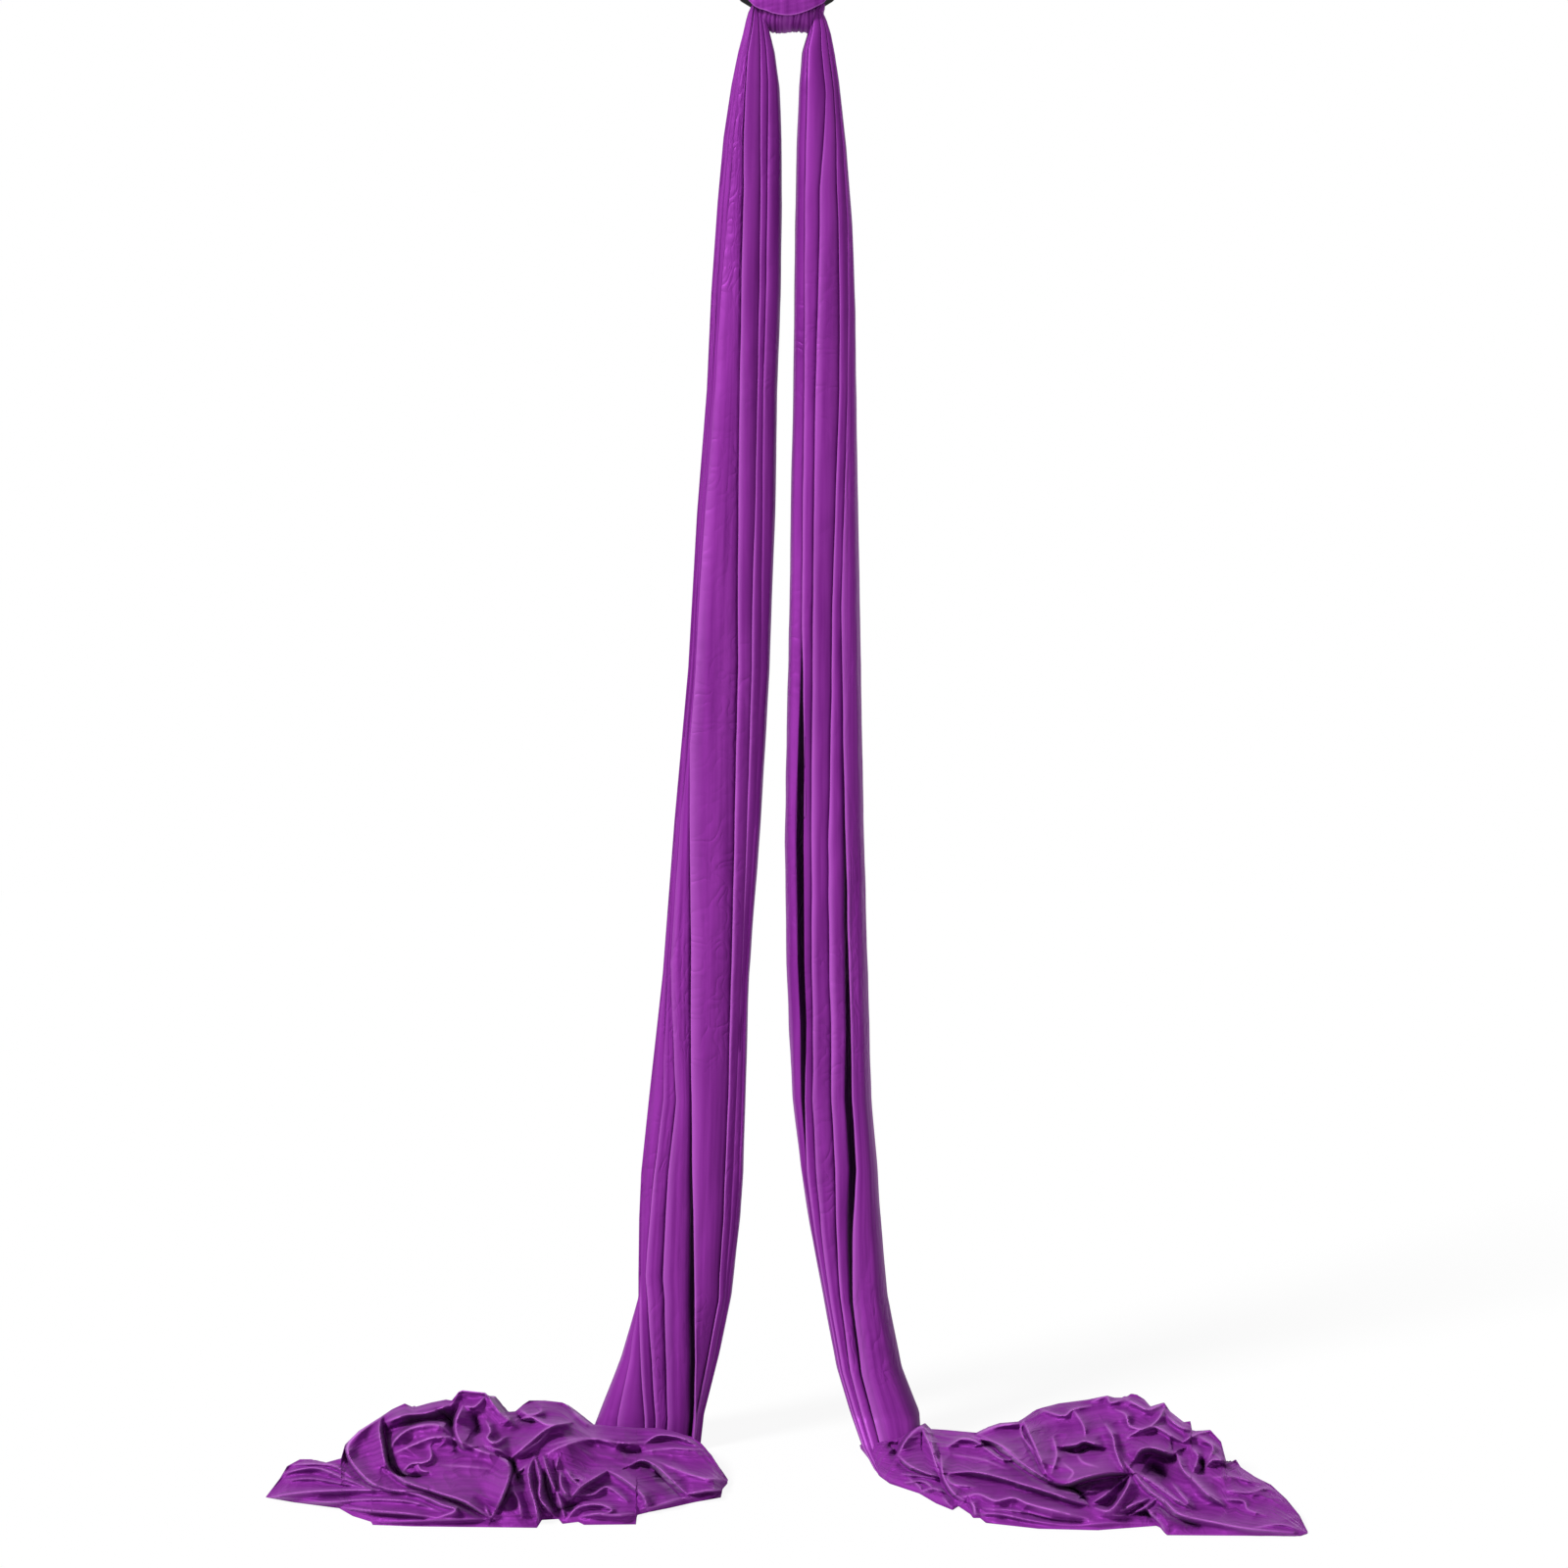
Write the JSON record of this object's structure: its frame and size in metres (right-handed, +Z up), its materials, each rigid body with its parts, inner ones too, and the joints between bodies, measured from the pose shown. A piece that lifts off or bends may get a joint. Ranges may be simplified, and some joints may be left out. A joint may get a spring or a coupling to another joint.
{
  "type": "aerial silks",
  "caption": "Aerial silks: a long cloth knotted by its middle on a rescue figure eight under a swivel and locking carabiners, its tails ending in piles on the floor.",
  "frame": {"origin": "middle of the 12 mm anchor bar that the upper carabiner's top bow hangs on", "axes": "+Z up along the hanging line, +X to the viewer's right, -Y towards the viewer of the picture"},
  "size_m": [1.6925, 0.6083, 3.0011],
  "materials": {
    "silk_cloth": "satin nylon tricot",
    "black_anodised": "black anodised",
    "swivel_housing": "black anodised, turned",
    "steel": "polished steel",
    "screw_sleeve": "knurled anodised",
    "seal_rubber": "matt"
  },
  "bodies": {
    "rigging": {"upper_carabiner_body": "black_anodised", "upper_carabiner_hinge_pin": "steel", "swivel_upper_eye": "swivel_housing", "swivel_bottom_cap": "swivel_housing", "swivel_shaft_seal": "seal_rubber", "swivel_bearing_balls": "steel"},
    "upper_gate": {"upper_carabiner_gate": "black_anodised", "upper_carabiner_gate_plunger": "steel"},
    "upper_sleeve": {"upper_carabiner_sleeve": "screw_sleeve"},
    "swivel_shaft": {"swivel_lower_eye": "steel", "swivel_shaft_nut": "steel", "swivel_thrust_washer": "steel", "lower_carabiner_body": "black_anodised", "lower_carabiner_hinge_pin": "steel"},
    "lower_gate": {"lower_carabiner_gate": "black_anodised", "lower_carabiner_gate_plunger": "steel"},
    "lower_sleeve": {"lower_carabiner_sleeve": "screw_sleeve"},
    "silks": {"figure_eight": "black_anodised", "silk_left_tail": "silk_cloth", "silk_right_tail": "silk_cloth", "silk_left_pile": "silk_cloth", "silk_right_pile": "silk_cloth", "silk_knot_roll": "silk_cloth", "silk_front_wrap": "silk_cloth", "silk_neck_wrap": "silk_cloth"}
  },
  "joints": [
    {"name": "upper_gate_hinge", "type": "hinge", "parent": "rigging", "child": "upper_gate", "pos_m": [0.0265, 0, -0.055], "axis": [0, -1, 0], "range_deg": [0, 25], "stiffness_Nm_per_rad": 0.12, "springref_deg": -20.05},
    {"name": "upper_sleeve_slide", "type": "slide", "parent": "upper_gate", "child": "upper_sleeve", "axis": [0, 0, 1], "range_m": [0, 0.008]},
    {"name": "swivel_spin", "type": "hinge", "parent": "rigging", "child": "swivel_shaft", "pos_m": [0, 0, -0.1607], "axis": [0, 0, 1], "continuous": true},
    {"name": "figure_eight_tilt", "type": "hinge", "parent": "swivel_shaft", "child": "silks", "pos_m": [0, 0, -0.2556], "axis": [1, 0, 0], "range_deg": [-1.5, 1.5]},
    {"name": "lower_gate_hinge", "type": "hinge", "parent": "swivel_shaft", "child": "lower_gate", "pos_m": [0, 0.0265, -0.2334], "axis": [1, 0, 0], "range_deg": [0, 25], "stiffness_Nm_per_rad": 0.12, "springref_deg": -20.05},
    {"name": "lower_sleeve_slide", "type": "slide", "parent": "lower_gate", "child": "lower_sleeve", "axis": [0, 0, 1], "range_m": [0, 0.008]}
  ]
}
